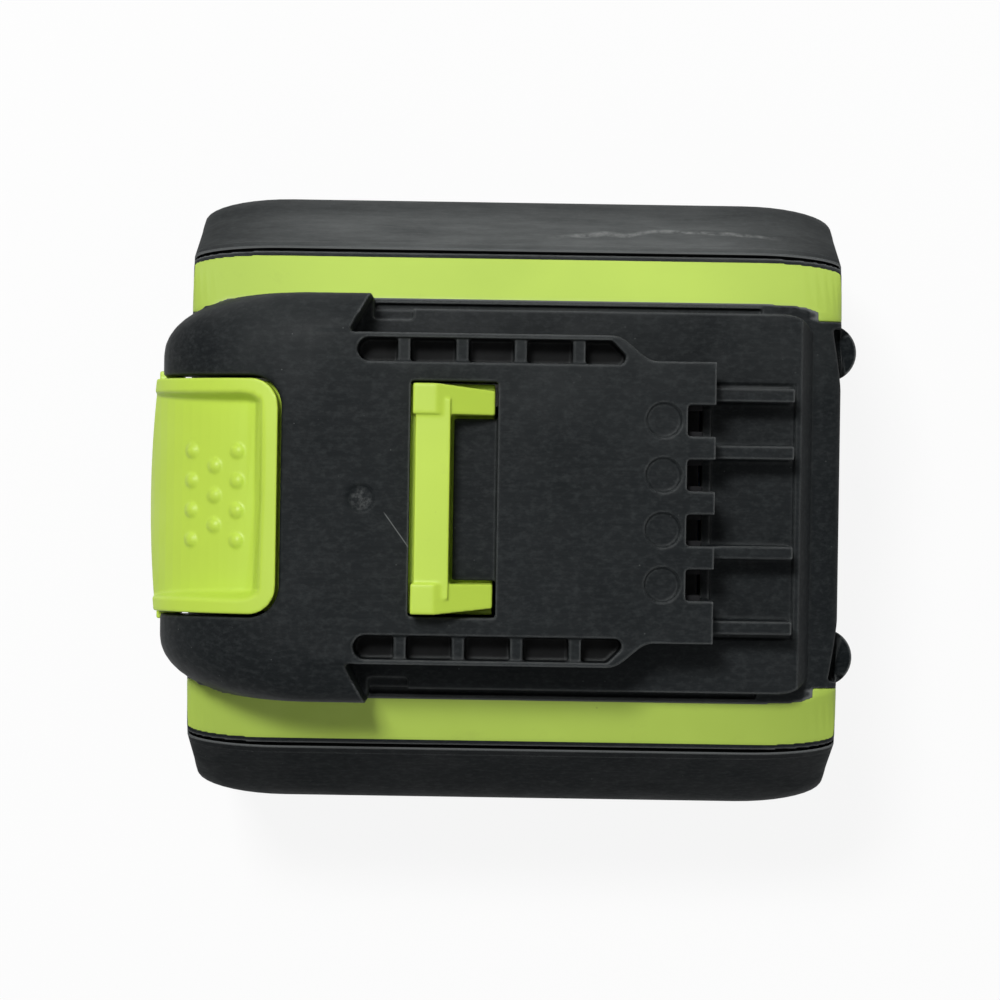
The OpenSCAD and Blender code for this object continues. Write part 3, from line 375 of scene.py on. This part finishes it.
def make_materials():
    """One material for each of the record's slots."""
    lime = (0.47, 0.64, 0.095)
    bright = (0.49, 0.67, 0.065)
    return {
        "black_plastic": black_plastic("black_plastic"),
        "side_plastic": black_plastic("side_plastic", 0.62),
        "lime_plastic": lime_plastic("lime_plastic", lime, (0.43, 0.59, 0.085), 0.5, 0.4),
        "latch_plastic": lime_plastic("latch_plastic", bright, (0.45, 0.62, 0.06), 0.46),
        "spring_steel": metal("spring_steel", (0.5, 0.5, 0.52), 0.3, (1, 1, 3)),
        "cell_can": coated("cell_can", (0.1, 0.27, 0.5), (0.07, 0.2, 0.4), 0.35, 600, 0.00002),
        "holder_plastic": coated("holder_plastic", (0.012, 0.012, 0.013), (0.008, 0.008, 0.009),
                                 0.7, 2400, 0.00004, 0.1),
        "nickel_strip": metal("nickel_strip", (0.62, 0.61, 0.57), 0.35, (1, 6, 1)),
        "insulating_sheet": coated("insulating_sheet", (0.5, 0.38, 0.22), (0.42, 0.31, 0.17),
                                   0.85, 1800, 0.00005),
        "foam": coated("foam", (0.05, 0.05, 0.053), (0.03, 0.03, 0.032), 0.95, 2600, 0.0002),
        "circuit_board": coated("circuit_board", (0.015, 0.16, 0.06), (0.01, 0.12, 0.045),
                                0.35, 1500, 0.00003),
        "component_black": coated("component_black", (0.014, 0.014, 0.015), (0.02, 0.02, 0.022),
                                  0.6, 3000, 0.00003),
        "contact_brass": metal("contact_brass", (0.68, 0.5, 0.2), 0.32, (4, 1, 1)),
        "sensor_bead": coated("sensor_bead", (0.42, 0.1, 0.035), (0.34, 0.08, 0.03), 0.25, 900, 0.00002),
        "screw_steel": metal("screw_steel", (0.16, 0.16, 0.17), 0.42, (1, 1, 5)),
    }


# Pieces


def welded_copy(node):
    """Mesh of a CAD node with its doubled points joined."""
    mesh = nodes[node].data.copy()
    work = bmesh.new()
    work.from_mesh(mesh)
    bmesh.ops.remove_doubles(work, verts=work.verts, dist=1e-6)
    work.to_mesh(mesh)
    work.free()
    mesh.materials.clear()
    return mesh


def new_object(name, mesh):
    obj = bpy.data.objects.new(name, mesh)
    bpy.context.scene.collection.objects.link(obj)
    return obj


def apply(obj, kind, **settings):
    """Change an object's mesh for good with one modifier."""
    modifier = obj.modifiers.new(kind.lower(), kind)
    for key, value in settings.items():
        setattr(modifier, key, value)
    graph = bpy.context.evaluated_depsgraph_get()
    mesh = bpy.data.meshes.new_from_object(obj.evaluated_get(graph))
    obj.modifiers.clear()
    obj.data = mesh


def points_of(obj):
    """Array of the object's points."""
    points = np.zeros(len(obj.data.vertices) * 3)
    obj.data.vertices.foreach_get("co", points)
    return points.reshape(-1, 3)


def soften(obj, rounds, chosen=None):
    """Smooth the whole mesh, or only the points that chosen(x, y, z) picks."""
    group = ""
    if chosen is not None:
        group = "soft"
        picked = np.flatnonzero(chosen(*points_of(obj).T))
        obj.vertex_groups.new(name=group).add(picked.tolist(), 1.0, "REPLACE")
    apply(obj, "SMOOTH", factor=0.5, iterations=rounds, vertex_group=group)
    obj.vertex_groups.clear()


def moulded(name, node, voxel, rounds, keep, extra=0, chosen=None):
    """Copy of a CAD node with every edge softened as a mould leaves it, and more so where chosen picks."""
    obj = new_object(name, welded_copy(node))
    apply(obj, "REMESH", mode="VOXEL", voxel_size=voxel)
    soften(obj, rounds)
    if extra:
        soften(obj, extra, chosen)
    apply(obj, "DECIMATE", ratio=keep)
    for face in obj.data.polygons:
        face.use_smooth = True
    return obj


def crisp(name, node):
    """Copy of a CAD node with its curves shaded smooth and its sharp edges kept."""
    obj = new_object(name, welded_copy(node))
    for face in obj.data.polygons:
        face.use_smooth = True
    obj.data.set_sharp_from_angle(angle=math.radians(SHARP_ANGLE))
    apply(obj, "WEIGHTED_NORMAL", keep_sharp=True)
    return obj


def place(obj, body, slot, material, *replaced):
    """Give a piece its finish, and let it stand for its CAD nodes on that body."""
    obj.data.materials.clear()
    obj.data.materials.append(material)
    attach(obj, body)
    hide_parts(*replaced)
    return obj


def on_hump(x, y, z):
    """Curved back and sides of the hump."""
    return (x < HUMP_SOFT_X) & (z > BAND_TOP + HUMP_SOFT_RISE)


def make_case(materials):
    """Housings, bands and latch."""
    lower = crisp("lower_case", "lower_housing")
    place(lower, "pack", "black_plastic", materials["side_plastic"], "lower_housing")
    upper = moulded("upper_case", "upper_housing", voxel=0.2 * MM, rounds=3, keep=0.25, extra=24, chosen=on_hump)
    place(upper, "pack", "black_plastic", materials["black_plastic"], "upper_housing")
    for side in ("left", "right"):
        band = moulded(f"side_band_{side}", f"band_{side}", voxel=0.16 * MM, rounds=8, keep=0.3)
        place(band, "pack", "lime_plastic", materials["lime_plastic"], f"band_{side}")
    latch = moulded("latch", "release_latch", voxel=0.15 * MM, rounds=8, keep=0.35)
    place(latch, "latch", "latch_plastic", materials["latch_plastic"], "release_latch")


def make_spring(side, material):
    """Wound wire spring with closed ends."""
    low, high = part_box(f"latch_spring_{side}")
    middle = (low + high) / 2
    coil_r = (high.x - low.x - SPRING_WIRE) / 2
    steps = SPRING_TURNS * SPRING_STEPS
    rise = high.z - low.z - SPRING_WIRE
    work = bmesh.new()
    rings = []
    for i in range(steps + 1):
        turn = 2 * math.pi * i / SPRING_STEPS
        share = min(max((i / SPRING_STEPS - 1) / (SPRING_TURNS - 2), 0), 1)
        dead = SPRING_WIRE * (min(i / SPRING_STEPS, 1) + max(i / SPRING_STEPS - SPRING_TURNS + 1, 0))
        z = low.z + SPRING_WIRE / 2 + dead + (rise - 2 * SPRING_WIRE) * share
        ring = []
        for j in range(SPRING_SIDES):
            a = 2 * math.pi * j / SPRING_SIDES
            r = coil_r + SPRING_WIRE / 2 * math.cos(a)
            ring.append(work.verts.new((middle.x + r * math.cos(turn), middle.y + r * math.sin(turn),
                                        z + SPRING_WIRE / 2 * math.sin(a))))
        rings.append(ring)
    for a, b in zip(rings, rings[1:]):
        for j in range(SPRING_SIDES):
            k = (j + 1) % SPRING_SIDES
            work.faces.new((a[j], b[j], b[k], a[k])).smooth = True
    work.faces.new(rings[0])
    work.faces.new(rings[-1][::-1])
    bmesh.ops.recalc_face_normals(work, faces=work.faces)
    mesh = bpy.data.meshes.new(f"spring_{side}")
    work.to_mesh(mesh)
    work.free()
    spring = new_object(f"spring_{side}", mesh)
    place(spring, "pack", "spring_steel", material, f"latch_spring_{side}")
    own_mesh(spring)


def make_foam(material):
    """Foam pad between the cells and the board, with rounded, slightly crushed edges."""
    foam = moulded("foam", "foam_pad", voxel=0.4 * MM, rounds=12, keep=0.5)
    place(foam, "pack", "foam", material, "foam_pad")


def finish_nodes(materials):
    """Materials for the CAD nodes that stay as they are."""
    slot_of = {row["node"]: row["material_slot"] for row in frame["record"]["subparts"]}
    for name, obj in nodes.items():
        if obj.hide_render:
            continue
        obj.data.materials.clear()
        obj.data.materials.append(materials[slot_of[name]])


# Stage


def make_floor():
    """Pale floor that reads as white to the camera and in reflections, and still takes the object's shadow."""
    mesh = bpy.data.meshes.new("floor")
    half = FLOOR_SIDE / 2
    corners = [(-half, -half, 0), (half, -half, 0), (half, half, 0), (-half, half, 0)]
    mesh.from_pydata(corners, [], [(0, 1, 2, 3)])
    floor = new_object("floor", mesh)
    floor.location.z = -FLOOR_DROP
    n = Nodes("floor")
    shader = n.add("BsdfDiffuse")
    shader.inputs["Color"].default_value = (FLOOR_TONE, FLOOR_TONE, FLOOR_TONE, 1)
    glow = n.add("Emission")
    glow.inputs["Color"].default_value = (1, 1, 1, 1)
    path = n.add("LightPath")
    seen = n.math("MAXIMUM", path.outputs["Is Camera Ray"], path.outputs["Is Glossy Ray"])
    seen = n.math("MAXIMUM", seen, path.outputs["Is Transmission Ray"])
    mixed = n.add("MixShader")
    n.link(n.math("MULTIPLY", seen, FLOOR_GLOW), mixed.inputs["Fac"])
    n.link(shader.outputs["BSDF"], mixed.inputs[1])
    n.link(glow.outputs["Emission"], mixed.inputs[2])
    n.link(mixed.outputs["Shader"], n.output.inputs["Surface"])
    floor.data.materials.append(n.material)


def make_world():
    """White to the camera, in reflections and through clear stuff, and a dim even fill for the rest."""
    world = bpy.data.worlds.new("world")
    bpy.context.scene.world = world
    world.use_nodes = True
    tree = world.node_tree
    background = tree.nodes["Background"]
    path = tree.nodes.new("ShaderNodeLightPath")
    strength = tree.nodes.new("ShaderNodeMapRange")
    strength.inputs["To Min"].default_value = WORLD_FILL
    strength.inputs["To Max"].default_value = 1.0
    seen = path.outputs["Is Camera Ray"]
    for ray in ("Is Glossy Ray", "Is Transmission Ray"):
        either = tree.nodes.new("ShaderNodeMath")
        either.operation = "MAXIMUM"
        tree.links.new(seen, either.inputs[0])
        tree.links.new(path.outputs[ray], either.inputs[1])
        seen = either.outputs["Value"]
    tree.links.new(seen, strength.inputs["Value"])
    tree.links.new(strength.outputs["Result"], background.inputs["Strength"])
    background.inputs["Color"].default_value = (1, 1, 1, 1)


def area_light(name, place_at, size, power):
    """Soft lamp that faces the middle of the rail."""
    data = bpy.data.lights.new(name, "AREA")
    data.shape = "RECTANGLE"
    data.size, data.size_y = size
    data.energy = power
    lamp = bpy.data.objects.new(name, data)
    bpy.context.scene.collection.objects.link(lamp)
    lamp.location = place_at
    aim = Vector((0, 0, RAIL_TOP)) - Vector(place_at)
    lamp.rotation_mode = "QUATERNION"
    lamp.rotation_quaternion = aim.to_track_quat("-Z", "Y")


def make_lights():
    """A high soft window and a low one on the left side of the pack, and a weak fill on the right."""
    area_light("window", (-0.2, 0.36, 0.95), size=(0.22, 0.18), power=8.2)
    area_light("fill", (0, -0.5, 0.87), size=(0.5, 0.4), power=0.7)
    area_light("low_window", (0, 0.75, 0.2), size=(0.7, 0.25), power=0.9)


materials = make_materials()
make_camera()
make_world()
make_floor()
make_lights()
make_case(materials)
for side in ("left", "right"):
    make_spring(side, materials["spring_steel"])
make_foam(materials["foam"])
finish_nodes(materials)
bpy.context.scene.view_settings.view_transform = "Standard"
